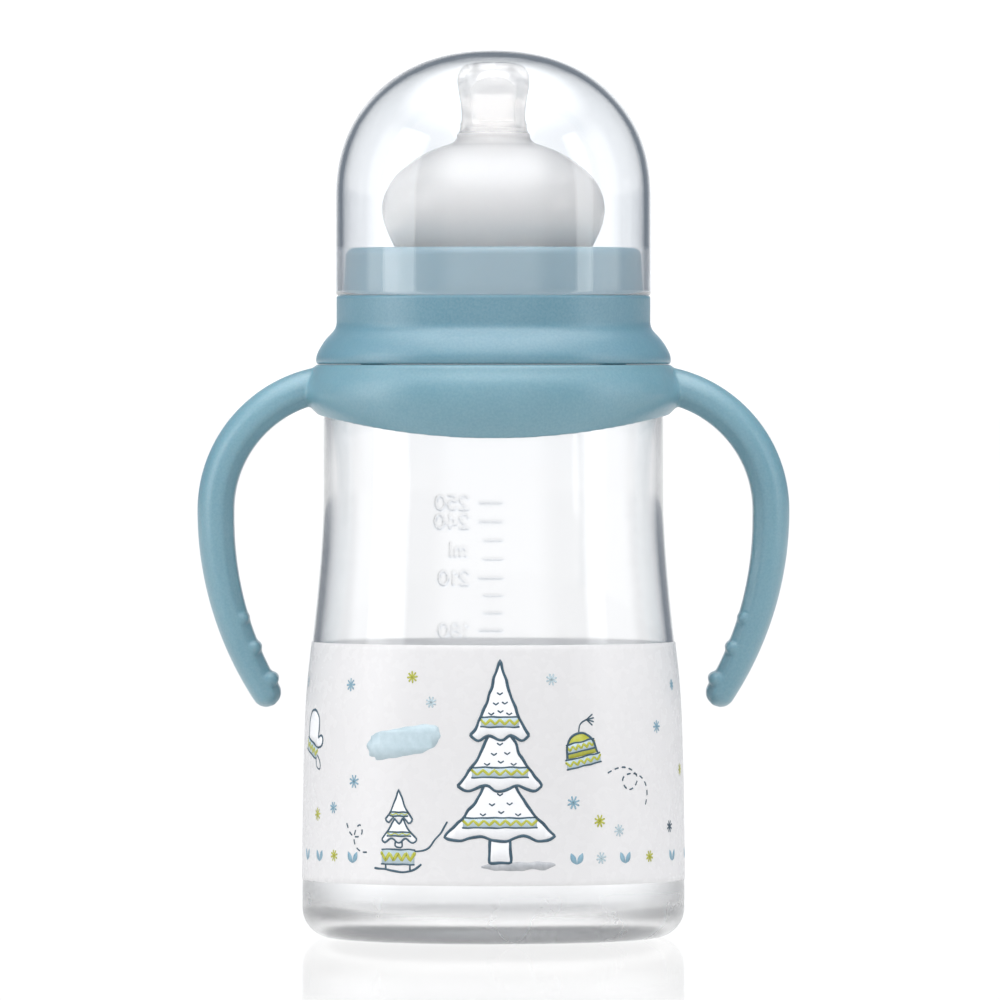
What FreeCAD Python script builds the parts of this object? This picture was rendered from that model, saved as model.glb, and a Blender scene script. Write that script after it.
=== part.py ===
"""Wide-neck baby bottle with two handles, a silicone teat, a screw collar and a clear dome cap.

Millimetres. The origin is the centre of the base, where the bottle stands; +Z is up, the two handles
lie along X, and the volume scale is moulded on the back wall, at +Y. Each sub-part is one solid.
"""
import FreeCAD, Part
import math
import os
from FreeCAD import Vector

# Bottle body
BASE_R = 35.0
BASE_CORNER_R = 5.5
BODY_R = 31.1
BODY_STRAIGHT_Z = 83.0
SHOULDER_Z = 103.0
SHOULDER_ARC_R = 4.5
WALL = 1.3
FLOOR_Z = 3.6
FOOT_IN_R = 27.6
FOOT_OUT_R = 29.5
PUNT_RISE = 1.4
FLOOR_RISE = 1.0

# Waisted side of the body, as outer radius and height from the base's corner to the straight part
SIDE = (
    (BASE_R, BASE_CORNER_R), (34.8, 25.0), (34.45, 39.0), (33.95, 47.3), (33.15, 54.5),
    (32.35, 61.7), (31.65, 69.5), (31.2, 77.0), (BODY_R, BODY_STRAIGHT_Z),
)

# Neck and rim
NECK_R = 24.2
NECK_BORE_R = 22.4
STEP_R = 25.85
STEP_TOP_Z = 104.6
RIM_Z = 123.5
RIM_BEVEL = 0.6

# Screw thread, single start and right-handed
LEAD = 5.0
THREAD_TURNS = 1.25
THREAD_BOTTOM_Z = 111.6
THREAD_HEIGHT = 1.5
THREAD_CREST = 1.2
THREAD_ROOT = 2.2
THREAD_BITE = 0.35
THREAD_START_DEG = 25
THREAD_FLANK_GAP = 0.45

# Raised volume scale on the back wall
SCALE_VOLUMES = (180, 190, 200, 210, 220, 230, 240, 250)
TICK_LONG = 4.3
TICK_SHORT = 3.4
TICK_WIDTH = 0.55
TICK_RISE = 0.3
TICK_RIGHT_X = 1.6

# Printed film
FILM = 0.12
FILM_BOTTOM_Z = 10.7
FILM_TOP_Z = 54.2

# Handle ring
RING_BORE_R = 31.45
RING_HOLE_R = 26.2
RING_TOP_Z = 104.9
RING_TOP_R = 32.6
RING_LIP_R = 0.7
RING_BULGE_R = 34.7
RING_BULGE_Z = 98.4
RING_LOW_Z = 91.5
RING_LOW_WIDTH = 0.6
RING_PLATE_UNDER_Z = 103.1
RING_SCOOP_R = 123.0
RING_SCOOP_DROP = 0.2

# Handle arms, drawn in the XZ plane and made to a depth along Y
ARM_WIDEST_X = 54.25
ARM_WIDEST_Z = 78.2
ARM_UPPER_R = 26.7
ARM_LOWER_R = 63.5
ARM_THICK = 6.7
ARM_TIP_THICK = 5.2
ARM_TIP_Z = 43.3
ARM_DEPTH = 13.0
ARM_EDGE_R = 2.2
ARM_ROOT_DEG = 76
ARM_ROOT_IN_DEG = 68
GRIP_HEIGHTS = (58.6, 53.3, 47.6)
GRIP_LENGTH = 8.6
GRIP_R = 1.3
GRIP_RISE = 0.8

# Screw collar
COLLAR_LOW_Z = 105.1
COLLAR_STEP_Z = 117.5
COLLAR_TOP_Z = 126.3
COLLAR_BAND_LOW_R = 27.45
COLLAR_BAND_TOP_R = 27.0
COLLAR_CYLINDER_R = 28.75
COLLAR_SKIRT_R = 32.5
COLLAR_EDGE_R = 0.7
COLLAR_BORE_R = 26.1
COLLAR_HOLE_R = 18.6
COLLAR_LEDGE = 1.3
COLLAR_TOP_ROUND = 1.6
COLLAR_STEP_BEVEL = 0.3

# Flare of the collar's skirt, as radius and height: outside from the top down, inside from the bottom up
COLLAR_FLARE = (
    (COLLAR_CYLINDER_R, 112.8), (29.15, 111.3), (30.4, 109.9), (31.5, 108.4), (32.2, 107.1),
    (COLLAR_SKIRT_R, COLLAR_LOW_Z + COLLAR_EDGE_R),
)
COLLAR_UNDERSIDE = (
    (31.0, COLLAR_LOW_Z), (30.6, 106.7), (29.9, 108.0), (28.8, 109.5), (27.5, 110.8), (COLLAR_BORE_R, 112.2),
)

# Teat
TEAT_FLANGE_R = 25.4
TEAT_FLANGE_LOW_Z = 123.52
TEAT_SEAT_GAP = 0.02
TEAT_NECK_GAP = 0.5
TEAT_MOUTH_R = 16.4
TEAT_LIP_R = 22.1
TEAT_LIP_Z = 121.2
TEAT_LIP_WIDTH = 1.2
TEAT_BULB_R = 20.4
TEAT_BULB_Z = 133.4
TEAT_WALL = 1.7
NIPPLE_BASE_Z = 146.5
NIPPLE_BASE_R = 6.5
NIPPLE_WAIST_R = 5.8
NIPPLE_WAIST_Z = 149.3
NIPPLE_HEAD_R = 6.65
NIPPLE_HEAD_Z = 157.3
NIPPLE_TOP_Z = 160.6
NIPPLE_TIP_WALL = 1.8
FEED_HOLE_R = 0.4
VENT_X = 19.0
VENT_BOSS_R = 1.54
VENT_BOSS_DROP = 2.0
VENT_HOLE_R = 0.4

# Dome cap
DOME_R = 28.85
DOME_LOW_Z = 117.55
DOME_SPRING_Z = 135.4
DOME_TOP_Z = 162.45
DOME_POWER = 2.2
DOME_WALL = 1.15


def at(radius, height):
    """A point of a lathe outline: radius from the bottle's axis, and height."""
    return Vector(radius, 0, height)


def line(start, end):
    return Part.LineSegment(start, end).toShape()


def arc(start, through, end):
    return Part.Arc(start, through, end).toShape()


def spline(points, start_way=None, end_way=None):
    """A smooth curve through points, with the ways it starts and ends where they are given."""
    curve = Part.BSplineCurve()
    if start_way is None:
        curve.interpolate(points)
    else:
        curve.interpolate(Points=points, InitialTangent=start_way, FinalTangent=end_way)
    return curve.toShape()


def lathe(edges):
    """Turn a closed outline of edges about the bottle's axis."""
    face = Part.Face(Part.Wire(edges))
    solid = face.revolve(Vector(0, 0, 0), Vector(0, 0, 1), 360)
    return solid if solid.Volume > 0 else solid.reversed()


def polygon_edges(points):
    """Straight edges from each point to the next."""
    return [line(a, b) for a, b in zip(points, points[1:])]


def arc_point(centre, radius, degrees):
    """The point of a circle in the outline's plane, at an angle from the outward direction."""
    angle = math.radians(degrees)
    return at(centre.x + radius * math.cos(angle), centre.z + radius * math.sin(angle))


def crown(edge, rise):
    """A shallow spherical cap about the axis, from its middle, raised by rise, out to its edge."""
    radius = (edge.x ** 2 + rise ** 2) / (2 * rise)
    centre_z = edge.z + rise - radius
    half = math.asin(edge.x / radius) / 2
    through = at(radius * math.sin(half), centre_z + radius * math.cos(half))
    return arc(at(0, edge.z + rise), through, edge)


def body_side(proud):
    """The waisted side of the body, from the base's corner up, stood out by a thickness."""
    up = Vector(0, 0, 1)
    return spline([at(radius + proud, height) for radius, height in SIDE], up, up)


def side_radius(height):
    """The body's outer radius at a height."""
    if height >= BODY_STRAIGHT_Z:
        return BODY_R
    probe = line(at(BODY_R / 2, height), at(2 * BASE_R, height))
    return body_side(0).distToShape(probe)[1][0][0].x


def thread(mean_r, inward, bottom_z, turns):
    """A ridge along a helix: a trapezoid that stands out of a wall, or into a bore when inward."""
    direction = -1 if inward else 1
    root_r = mean_r - direction * THREAD_BITE
    crest_r = mean_r + direction * THREAD_HEIGHT
    section = Part.makePolygon([
        at(root_r, bottom_z - THREAD_ROOT / 2),
        at(crest_r, bottom_z - THREAD_CREST / 2),
        at(crest_r, bottom_z + THREAD_CREST / 2),
        at(root_r, bottom_z + THREAD_ROOT / 2),
        at(root_r, bottom_z - THREAD_ROOT / 2),
    ])
    helix = Part.makeHelix(LEAD, LEAD * turns, mean_r)
    helix.translate(Vector(0, 0, bottom_z))
    ridge = Part.Wire(helix.Edges).makePipeShell([section], True, True)
    ridge.rotate(Vector(0, 0, 0), Vector(0, 0, 1), THREAD_START_DEG)
    return ridge


def tick(height, length):
    """One raised mark of the volume scale, on the back wall."""
    radius = side_radius(height)
    middle_x = TICK_RIGHT_X - length / 2
    bar = Part.makeBox(length, TICK_RISE + WALL / 2, TICK_WIDTH)
    bar.translate(Vector(-length / 2, radius - WALL / 2, height - TICK_WIDTH / 2))
    bar.rotate(Vector(0, 0, 0), Vector(0, 0, 1), -math.degrees(middle_x / radius))
    return bar


def volume_height(volume):
    """Height of the liquid at a volume, in millilitres, by slices of the body's inside."""
    step = 0.25
    height = FLOOR_Z
    filled = 0.0
    while filled < volume:
        radius = side_radius(max(height, BASE_CORNER_R)) - WALL
        filled += math.pi * radius ** 2 * step / 1000
        height += step
    return height


def bottle_outside():
    """The bottle's outside from the middle of the base, over the foot ring and the side, to the rim."""
    foot_in = at(FOOT_IN_R, 0)
    foot_out = at(FOOT_OUT_R, 0)
    corner = at(BASE_R - BASE_CORNER_R, BASE_CORNER_R)
    shoulder = at(BODY_R - SHOULDER_ARC_R, SHOULDER_Z - SHOULDER_ARC_R)
    shoulder_low = arc_point(shoulder, SHOULDER_ARC_R, 0)
    shoulder_top = arc_point(shoulder, SHOULDER_ARC_R, 90)
    return [
        crown(foot_in, PUNT_RISE),
        line(foot_in, foot_out),
        arc(foot_out, arc_point(corner, BASE_CORNER_R, -45), at(BASE_R, BASE_CORNER_R)),
        body_side(0),
        line(at(BODY_R, BODY_STRAIGHT_Z), shoulder_low),
        arc(shoulder_low, arc_point(shoulder, SHOULDER_ARC_R, 45), shoulder_top),
        *polygon_edges([
            shoulder_top,
            at(STEP_R, SHOULDER_Z),
            at(STEP_R, STEP_TOP_Z),
            at(NECK_R, STEP_TOP_Z + RIM_BEVEL),
            at(NECK_R, RIM_Z - RIM_BEVEL),
            at(NECK_R - RIM_BEVEL, RIM_Z),
        ]),
    ]


def bottle_inside():
    """The bottle's inside, from the rim down to the middle of the floor."""
    shoulder = at(BODY_R - SHOULDER_ARC_R, SHOULDER_Z - SHOULDER_ARC_R)
    shoulder_r = SHOULDER_ARC_R - WALL
    shoulder_low = arc_point(shoulder, shoulder_r, 0)
    shoulder_top = arc_point(shoulder, shoulder_r, 90)
    corner = at(BASE_R - BASE_CORNER_R, FLOOR_Z + BASE_CORNER_R - WALL)
    corner_r = BASE_CORNER_R - WALL
    floor_edge = arc_point(corner, corner_r, -90)
    above_corner = Part.makeBox(BASE_R, 2, RIM_Z, Vector(0, -1, corner.z))
    side = body_side(-WALL).common(above_corner).Edges[0]
    side_low = min((vertex.Point for vertex in side.Vertexes), key=lambda point: point.z)
    return [
        *polygon_edges([
            at(NECK_R - RIM_BEVEL, RIM_Z),
            at(NECK_BORE_R, RIM_Z),
            at(NECK_BORE_R, SHOULDER_Z - 0.3),
            at(NECK_BORE_R + 1.0, SHOULDER_Z - WALL),
            shoulder_top,
        ]),
        arc(shoulder_top, arc_point(shoulder, shoulder_r, 45), shoulder_low),
        line(shoulder_low, at(BODY_R - WALL, BODY_STRAIGHT_Z)),
        side,
        arc(side_low, arc_point(corner, corner_r, -45), floor_edge),
        line(floor_edge, at(FOOT_IN_R, FLOOR_Z)),
        crown(at(FOOT_IN_R, FLOOR_Z), FLOOR_RISE),
        line(at(0, FLOOR_Z + FLOOR_RISE), at(0, PUNT_RISE)),
    ]


def bottle_body():
    """The bottle: foot ring, domed base, waisted side, shoulder, threaded neck and raised scale."""
    body = lathe(bottle_outside() + bottle_inside())
    ticks = []
    for index, volume in enumerate(SCALE_VOLUMES):
        length = TICK_LONG if index % 3 == 0 or volume == 240 else TICK_SHORT
        ticks.append(tick(volume_height(volume), length))
    ridge = thread(NECK_R, False, THREAD_BOTTOM_Z, THREAD_TURNS)
    return body.fuse([ridge] + ticks).Solids[0]


def print_sleeve():
    """The printed film: a thin skin that follows the body's side between two heights."""
    keep = Part.makeCylinder(2 * BASE_R, FILM_TOP_Z - FILM_BOTTOM_Z, Vector(0, 0, FILM_BOTTOM_Z))
    outer = filled_side(FILM).common(keep)
    return outer.cut(filled_side(0)).Solids[0]


def filled_side(proud):
    """The body's side filled in to the axis, stood out by a thickness."""
    low = at(BASE_R + proud, BASE_CORNER_R)
    high = at(BODY_R + proud, BODY_STRAIGHT_Z)
    closing = polygon_edges([high, at(0, high.z), at(0, low.z), low])
    return lathe([body_side(proud)] + closing)


def handle_ring():
    """The ring that sits on the shoulder, its dipped skirt, and the two arms, in one moulding."""
    top_inner = at(RING_HOLE_R, RING_TOP_Z)
    top_outer = at(RING_TOP_R - RING_LIP_R, RING_TOP_Z)
    lip_middle = at(RING_TOP_R, RING_TOP_Z - RING_LIP_R / 2)
    lip_low = at(RING_TOP_R + RING_LIP_R / 2, RING_TOP_Z - RING_LIP_R * 1.4)
    bulge = at(RING_BULGE_R, RING_BULGE_Z)
    low_outer = at(RING_BORE_R + RING_LOW_WIDTH, RING_LOW_Z)
    plate_edge = at(RING_HOLE_R, RING_PLATE_UNDER_Z)
    outline = [
        line(plate_edge, top_inner),
        line(top_inner, top_outer),
        arc(top_outer, lip_middle, lip_low),
        arc(lip_low, at(RING_BULGE_R - 0.5, RING_BULGE_Z + 3.2), bulge),
        arc(bulge, at(RING_BULGE_R - 0.9, RING_BULGE_Z - 4.4), low_outer),
        *polygon_edges([
            low_outer,
            at(RING_BORE_R, RING_LOW_Z),
            at(RING_BORE_R, RING_PLATE_UNDER_Z),
            plate_edge,
        ]),
    ]
    reach = 2 * BASE_R
    scoop_centre = Vector(0, -reach, RING_LOW_Z - RING_SCOOP_DROP + RING_SCOOP_R)
    above_scoop = Part.makeCylinder(RING_SCOOP_R, 2 * reach, scoop_centre, Vector(0, 1, 0))
    ring = lathe(outline).common(above_scoop)
    bore = Part.makeCylinder(RING_BORE_R, RING_TOP_Z)
    arms = [arm(side).cut(bore) for side in (-1, 1)]
    return ring.fuse(arms).removeSplitter().Solids[0]


def arm_face():
    """The right-hand arm's side view: two arcs outside, two inside and a round tip."""
    upper = at(ARM_WIDEST_X - ARM_UPPER_R, ARM_WIDEST_Z)
    lower = at(ARM_WIDEST_X - ARM_LOWER_R, ARM_WIDEST_Z)
    inner_upper_r = ARM_UPPER_R - ARM_THICK
    tip_angle = -math.degrees(math.asin((ARM_WIDEST_Z - ARM_TIP_Z) / ARM_LOWER_R))
    outer_tip = arc_point(lower, ARM_LOWER_R, tip_angle)
    inner_tip = arc_point(lower, ARM_LOWER_R - ARM_TIP_THICK, tip_angle)
    down = Vector(0, 1, 0).cross(outer_tip - inner_tip).normalize()
    tip = (outer_tip + inner_tip) / 2 + down * (ARM_TIP_THICK / 2)
    root_out = arc_point(upper, ARM_UPPER_R, ARM_ROOT_DEG)
    root_in = arc_point(upper, inner_upper_r, ARM_ROOT_IN_DEG)
    inner_widest = at(ARM_WIDEST_X - ARM_THICK, ARM_WIDEST_Z)
    middle_thick = ARM_THICK * 0.55 + ARM_TIP_THICK * 0.45
    inner_middle = arc_point(lower, ARM_LOWER_R - middle_thick, tip_angle / 2)
    return Part.Face(Part.Wire([
        arc(root_out, arc_point(upper, ARM_UPPER_R, ARM_ROOT_DEG / 2), arc_point(upper, ARM_UPPER_R, 0)),
        arc(arc_point(lower, ARM_LOWER_R, 0), arc_point(lower, ARM_LOWER_R, tip_angle / 2), outer_tip),
        arc(outer_tip, tip, inner_tip),
        arc(inner_tip, inner_middle, inner_widest),
        arc(inner_widest, arc_point(upper, inner_upper_r, ARM_ROOT_IN_DEG / 2), root_in),
        line(root_in, root_out),
    ]))


def grip(height):
    """A grip rib: a round bar across the right-hand arm's inner face, partly sunk in it."""
    inner_r = ARM_LOWER_R - ARM_TIP_THICK
    lower = at(ARM_WIDEST_X - ARM_LOWER_R, ARM_WIDEST_Z)
    angle = -math.degrees(math.asin((ARM_WIDEST_Z - height) / inner_r))
    start = arc_point(lower, inner_r - GRIP_RISE + GRIP_R, angle)
    start.y = -GRIP_LENGTH / 2
    return Part.makeCylinder(GRIP_R, GRIP_LENGTH, start, Vector(0, 1, 0))


def arm(side):
    """One handle arm, with rounded edges and its grip ribs. side is 1 for +X and -1 for -X."""
    face = arm_face()
    face.translate(Vector(0, -ARM_DEPTH / 2, 0))
    blank = face.extrude(Vector(0, ARM_DEPTH, 0))
    rim_edges = [edge for edge in blank.Edges
                 if abs(abs(edge.CenterOfMass.y) - ARM_DEPTH / 2) < 0.01 and edge.Length > 2
                 and edge.CenterOfMass.x > RING_BULGE_R]
    solid = blank.makeFillet(ARM_EDGE_R, rim_edges)
    solid = solid.fuse([grip(height) for height in GRIP_HEIGHTS])
    if side < 0:
        solid = solid.mirror(Vector(0, 0, 0), Vector(1, 0, 0))
    return solid


def screw_collar():
    """The collar: a band that the cap pushes over, a step, a flared skirt and an internal thread."""
    top_corner = at(COLLAR_BAND_TOP_R - COLLAR_TOP_ROUND, COLLAR_TOP_Z - COLLAR_TOP_ROUND)
    flare = [at(*point) for point in COLLAR_FLARE]
    underside = [at(*point) for point in COLLAR_UNDERSIDE]
    edge_low = at(COLLAR_SKIRT_R - COLLAR_EDGE_R, COLLAR_LOW_Z)
    edge_middle = arc_point(at(edge_low.x, COLLAR_LOW_Z + COLLAR_EDGE_R), COLLAR_EDGE_R, -45)
    down = Vector(0, 0, -1)
    shell = lathe([
        spline(flare, down, down),
        arc(flare[-1], edge_middle, edge_low),
        line(edge_low, underside[0]),
        spline(underside),
        *polygon_edges([
            underside[-1],
            at(COLLAR_BORE_R, COLLAR_TOP_Z - COLLAR_LEDGE),
            at(COLLAR_HOLE_R, COLLAR_TOP_Z - COLLAR_LEDGE),
            at(COLLAR_HOLE_R, COLLAR_TOP_Z),
            arc_point(top_corner, COLLAR_TOP_ROUND, 90),
        ]),
        arc(arc_point(top_corner, COLLAR_TOP_ROUND, 90), arc_point(top_corner, COLLAR_TOP_ROUND, 45),
            arc_point(top_corner, COLLAR_TOP_ROUND, 0)),
        *polygon_edges([
            arc_point(top_corner, COLLAR_TOP_ROUND, 0),
            at(COLLAR_BAND_LOW_R, COLLAR_STEP_Z),
            at(COLLAR_CYLINDER_R - COLLAR_STEP_BEVEL, COLLAR_STEP_Z),
            at(COLLAR_CYLINDER_R, COLLAR_STEP_Z - COLLAR_STEP_BEVEL),
            flare[0],
        ]),
    ])
    low_z = THREAD_BOTTOM_Z - (THREAD_CREST + THREAD_ROOT) / 2 - THREAD_FLANK_GAP
    ridge = thread(COLLAR_BORE_R, True, low_z, THREAD_TURNS)
    return shell.fuse(ridge).Solids[0]


def teat_outside():
    """The teat's outside from the flange's top to the tip: neck, bulb, nipple base and nipple."""
    nipple_foot = at(8.6, 145.5)
    bulb = [
        at(COLLAR_HOLE_R - TEAT_NECK_GAP, COLLAR_TOP_Z + 0.1), at(19.55, 129.5),
        at(TEAT_BULB_R, TEAT_BULB_Z), at(19.2, 137.7), at(15.9, 141.4), at(12.6, 143.6), nipple_foot,
    ]
    nipple = [
        nipple_foot, at(NIPPLE_BASE_R, NIPPLE_BASE_Z), at(NIPPLE_WAIST_R, NIPPLE_WAIST_Z), at(6.2, 153.0),
        at(NIPPLE_HEAD_R, NIPPLE_HEAD_Z), at(5.6, 159.6), at(3.0, 160.45), at(0, NIPPLE_TOP_Z),
    ]
    return [spline(bulb), spline(nipple)]


def teat_inside():
    """The teat's inside, from the tip down to the flange."""
    bulb_top = at(7.6, 143.9)
    nipple = [
        at(0, NIPPLE_TOP_Z - NIPPLE_TIP_WALL), at(2.9, 158.3), at(4.6, 156.2), at(4.3, 152.5),
        at(4.2, 149.4), at(4.9, 146.0), bulb_top,
    ]
    bulb = [
        bulb_top, at(11.6, 142.0), at(14.6, 140.1), at(17.6, 136.8),
        at(TEAT_BULB_R - TEAT_WALL, TEAT_BULB_Z), at(17.9, 129.4), at(TEAT_MOUTH_R, 126.0),
    ]
    return [spline(nipple), spline(bulb)]


def teat():
    """The silicone teat: a clamped flange with a sealing lip, the bulb, the nipple and its vent."""
    outside = teat_outside()
    inside = teat_inside()
    flange_top = COLLAR_TOP_Z - COLLAR_LEDGE - TEAT_SEAT_GAP
    body = lathe(outside + [
        line(at(0, NIPPLE_TOP_Z), at(0, NIPPLE_TOP_Z - NIPPLE_TIP_WALL)),
    ] + inside + polygon_edges([
        at(TEAT_MOUTH_R, 126.0),
        at(TEAT_MOUTH_R, TEAT_FLANGE_LOW_Z),
        at(TEAT_LIP_R - TEAT_LIP_WIDTH - 0.4, TEAT_FLANGE_LOW_Z),
        at(TEAT_LIP_R - TEAT_LIP_WIDTH, TEAT_LIP_Z),
        at(TEAT_LIP_R, TEAT_LIP_Z),
        at(TEAT_LIP_R, TEAT_FLANGE_LOW_Z),
        at(TEAT_FLANGE_R, TEAT_FLANGE_LOW_Z),
        at(TEAT_FLANGE_R, flange_top),
        at(COLLAR_HOLE_R - TEAT_NECK_GAP, flange_top),
        at(COLLAR_HOLE_R - TEAT_NECK_GAP, COLLAR_TOP_Z + 0.1),
    ]))
    feed = Part.makeCylinder(FEED_HOLE_R, 6, Vector(0, 0, NIPPLE_TOP_Z - 4))
    boss_low = Vector(VENT_X, 0, TEAT_FLANGE_LOW_Z - VENT_BOSS_DROP)
    boss = Part.makeCylinder(VENT_BOSS_R, VENT_BOSS_DROP + 0.2, boss_low)
    vent = Part.makeCylinder(VENT_HOLE_R, 8, Vector(VENT_X, 0, TEAT_LIP_Z - 2))
    return body.fuse(boss).cut([feed, vent]).Solids[0]


def dome_curve(inset):
    """The dome's crown as a superellipse from its side to its top, moved in by a thickness."""
    half_width = DOME_R - inset
    rise = DOME_TOP_Z - DOME_SPRING_Z - inset
    points = []
    for degrees in range(0, 90, 6):
        angle = math.radians(degrees)
        radius = half_width * math.cos(angle) ** (2 / DOME_POWER)
        points.append(at(radius, DOME_SPRING_Z + rise * math.sin(angle) ** (2 / DOME_POWER)))
    points.append(at(0, DOME_SPRING_Z + rise))
    return spline(points)


def dome_cap():
    """The clear cap: a straight rim over the collar's band, and a rounded crown."""
    outer_low = at(DOME_R, DOME_LOW_Z)
    inner_low = at(DOME_R - DOME_WALL, DOME_LOW_Z)
    outline = [
        line(inner_low, outer_low),
        line(outer_low, at(DOME_R, DOME_SPRING_Z)),
        dome_curve(0),
        line(at(0, DOME_TOP_Z), at(0, DOME_TOP_Z - DOME_WALL)),
        dome_curve(DOME_WALL),
        line(at(DOME_R - DOME_WALL, DOME_SPRING_Z), inner_low),
    ]
    return lathe(outline)


PARTS = {
    "bottle_body": bottle_body,
    "print_sleeve": print_sleeve,
    "handle_ring": handle_ring,
    "screw_collar": screw_collar,
    "teat": teat,
    "dome_cap": dome_cap,
}


def main():
    os.makedirs("parts", exist_ok=True)
    for name, build in PARTS.items():
        solid = build()
        solid.exportStep(os.path.join("parts", name + ".step"))
        print(name, solid.ShapeType, solid.isValid(), round(solid.Volume, 1), solid.BoundBox)


main()
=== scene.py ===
"""Looks of the baby bottle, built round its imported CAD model.

Outlines and sizes are in millimetres, in the CAD model's frame, and become metres where a mesh is made.
The bottle stands on the XY plane with its axis on Z. The camera looks along +Y at its front.
"""
import math

import bmesh
import bpy
import numpy as np
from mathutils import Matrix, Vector


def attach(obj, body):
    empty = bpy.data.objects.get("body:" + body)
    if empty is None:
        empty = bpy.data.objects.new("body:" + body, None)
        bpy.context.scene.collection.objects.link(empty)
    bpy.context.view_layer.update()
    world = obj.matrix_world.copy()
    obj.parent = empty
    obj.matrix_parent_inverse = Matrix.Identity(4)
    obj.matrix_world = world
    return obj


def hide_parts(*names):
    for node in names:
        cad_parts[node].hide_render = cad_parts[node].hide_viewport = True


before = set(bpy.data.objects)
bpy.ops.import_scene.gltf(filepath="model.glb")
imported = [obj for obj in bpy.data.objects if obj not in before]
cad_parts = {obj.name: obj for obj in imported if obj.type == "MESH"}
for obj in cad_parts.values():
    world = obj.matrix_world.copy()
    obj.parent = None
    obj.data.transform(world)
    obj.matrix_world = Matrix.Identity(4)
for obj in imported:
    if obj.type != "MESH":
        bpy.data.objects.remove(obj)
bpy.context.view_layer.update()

MM = 0.001

# Bottle
FOOT_IN_R = 27.6
FOOT_OUT_R = 29.5
PUNT_RISE = 1.4
CORNER_R = 5.5
WALL = 1.3
FLOOR_Z = 3.6
FLOOR_RISE = 1.0
SHOULDER_Z = 103.0
SHOULDER_ARC_R = 4.5
STEP_R = 25.85
STEP_TOP_Z = 104.6
NECK_R = 24.2
NECK_BORE_R = 22.4
RIM_Z = 123.5
STRAIGHT_Z = 83.0
SIDE = ((35.0, 5.5), (34.8, 25.0), (34.45, 39.0), (33.95, 47.3), (33.15, 54.5),
        (32.35, 61.7), (31.65, 69.5), (31.2, 77.0), (31.1, STRAIGHT_Z))

# Screw thread
LEAD = 5.0
THREAD_TURNS = 1.25
THREAD_START = math.radians(25)
NECK_THREAD_Z = 111.6
THREAD_HEIGHT = 1.5
THREAD_HALF_ROOT = 1.1
THREAD_HALF_CREST = 0.6

# Raised scale on the back wall
NUMBERED = {180: 55.6, 210: 65.35, 240: 75.85, 250: 79.35}
UNNUMBERED = (58.85, 62.1, 68.85, 72.35)
TICK_END_X = 1.6
RAISED = 0.24
RAISED_HALF_WIDTH = 0.13
RAISED_EDGE = 0.17

# Printed film
FILM_LOW_Z = 10.7
FILM_TOP_Z = 54.2
FILM = 0.12
ART_R = 35.0
INK_STEP = 0.006
INK_SKIN = 0.004

# Clear cap
CAP_R = 28.85
CAP_LOW_Z = 117.55
CAP_SPRING_Z = 135.4
CAP_TOP_Z = 162.45
CAP_POWER = 2.2
CAP_WALL = 1.15
SEAT_TOP_Z = 126.2

# Screw collar
COLLAR_TOP_Z = 126.3
COLLAR_BORE_R = 26.1
COLLAR_WALL_R = 28.75
COLLAR_FLARE = ((28.75, 112.8), (29.15, 111.3), (30.4, 109.9), (31.5, 108.4), (32.2, 107.1), (32.5, 105.9))

# How rough the bottle's thick foot is, how white the cap is over the collar, and how far the film glows
BASE_HAZE = 0.20
CAP_BAND_WHITE_SHARE = 0.075
FILM_GLOW = 0.34

# Studio: how bright its panels are, and the colour of the gaps between them
BACK_PANEL = 0.82
FRONT_PANEL = 0.92
SIDE_PANEL = 1.0
TOP_PANEL = 2.3
STUDIO_GAP = (0.19, 0.22, 0.26)
FLOOR_MIRROR = 0.22

ROUND = 2 * math.pi


# ---------------------------------------------------------------- outlines


def spline(places, values, flat_ends=False):
    """A smooth cubic curve through values at places, as a function. Its ends are flat, or run on straight."""
    x, y = np.asarray(places, float), np.asarray(values, float)
    gap = np.diff(x)
    rise = np.diff(y) / gap
    count = len(x)
    system, right = np.zeros((count, count)), np.zeros(count)
    for i in range(1, count - 1):
        system[i, i - 1:i + 2] = gap[i], 2 * (gap[i - 1] + gap[i]), gap[i - 1]
        right[i] = 3 * (gap[i] * rise[i - 1] + gap[i - 1] * rise[i])
    if flat_ends:
        system[0, 0] = system[-1, -1] = 1
    else:
        system[0, :2], right[0] = (2, 1), 3 * rise[0]
        system[-1, -2:], right[-1] = (1, 2), 3 * rise[-1]
    slope = np.linalg.solve(system, right)

    def value(at):
        at = np.asarray(at, float)
        i = np.clip(np.searchsorted(x, at) - 1, 0, count - 2)
        t = np.clip((at - x[i]) / gap[i], 0, 1)
        return ((1 + 2 * t) * (1 - t) ** 2 * y[i] + t * (1 - t) ** 2 * gap[i] * slope[i]
                + t * t * (3 - 2 * t) * y[i + 1] + t * t * (t - 1) * gap[i] * slope[i + 1])

    return value


def through(points, spacing=0.3):
    """A smooth curve through points, as closely spaced points."""
    p = np.asarray(points, float)
    along = np.concatenate([[0], np.cumsum(np.linalg.norm(np.diff(p, axis=0), axis=1))])
    at = np.linspace(0, along[-1], max(3, int(along[-1] / spacing)))
    return np.stack([spline(along, p[:, 0])(at), spline(along, p[:, 1])(at)], 1)


def even(points, spacing, closed=False):
    """The same line with its points evenly spaced."""
    p = np.asarray(points, float)
    if closed:
        p = np.vstack([p, p[:1]])
    along = np.concatenate([[0], np.cumsum(np.linalg.norm(np.diff(p, axis=0), axis=1))])
    at = np.linspace(0, along[-1], max(6, round(along[-1] / spacing)) + 1)
    line = np.stack([np.interp(at, along, p[:, k]) for k in range(p.shape[1])], 1)
    return line[:-1] if closed else line


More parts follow.
